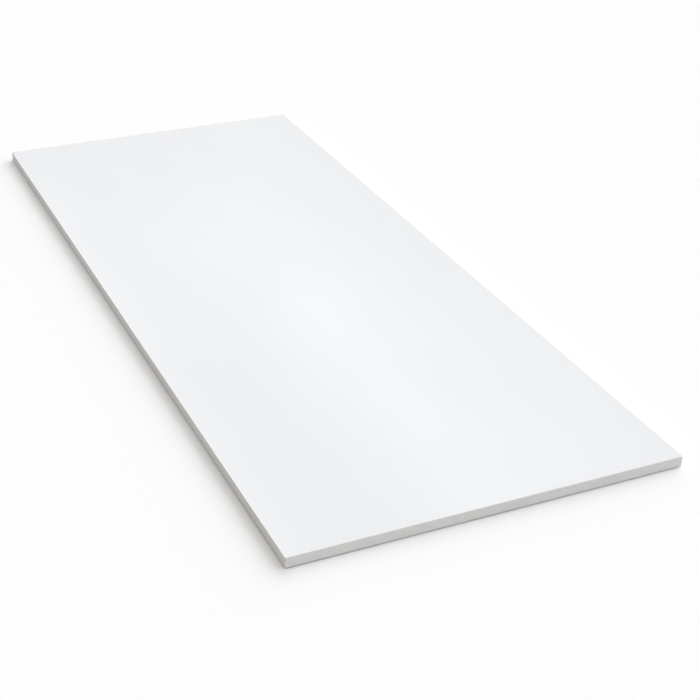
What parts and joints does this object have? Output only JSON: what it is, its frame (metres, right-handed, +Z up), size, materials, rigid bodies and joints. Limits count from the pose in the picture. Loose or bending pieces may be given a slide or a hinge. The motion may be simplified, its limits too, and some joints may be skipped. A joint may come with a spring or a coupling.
{
  "type": "foam pvc sheet",
  "caption": "Flat rectangular board of white rigid foamed PVC with smooth satin faces and square sawn edges, lying flat.",
  "frame": {"origin": "centre of the underside, on the floor that the sheet lies on", "axes": "+Y along the length, +X across the width, +Z up through the thickness"},
  "size_m": [1.22, 3.05, 0.032],
  "materials": {
    "white_foam_pvc": "smooth satin skins on both faces, matt fine-celled foam on the sawn edges"
  },
  "bodies": {
    "root": {"foam_pvc_sheet": "white_foam_pvc"}
  },
  "joints": []
}
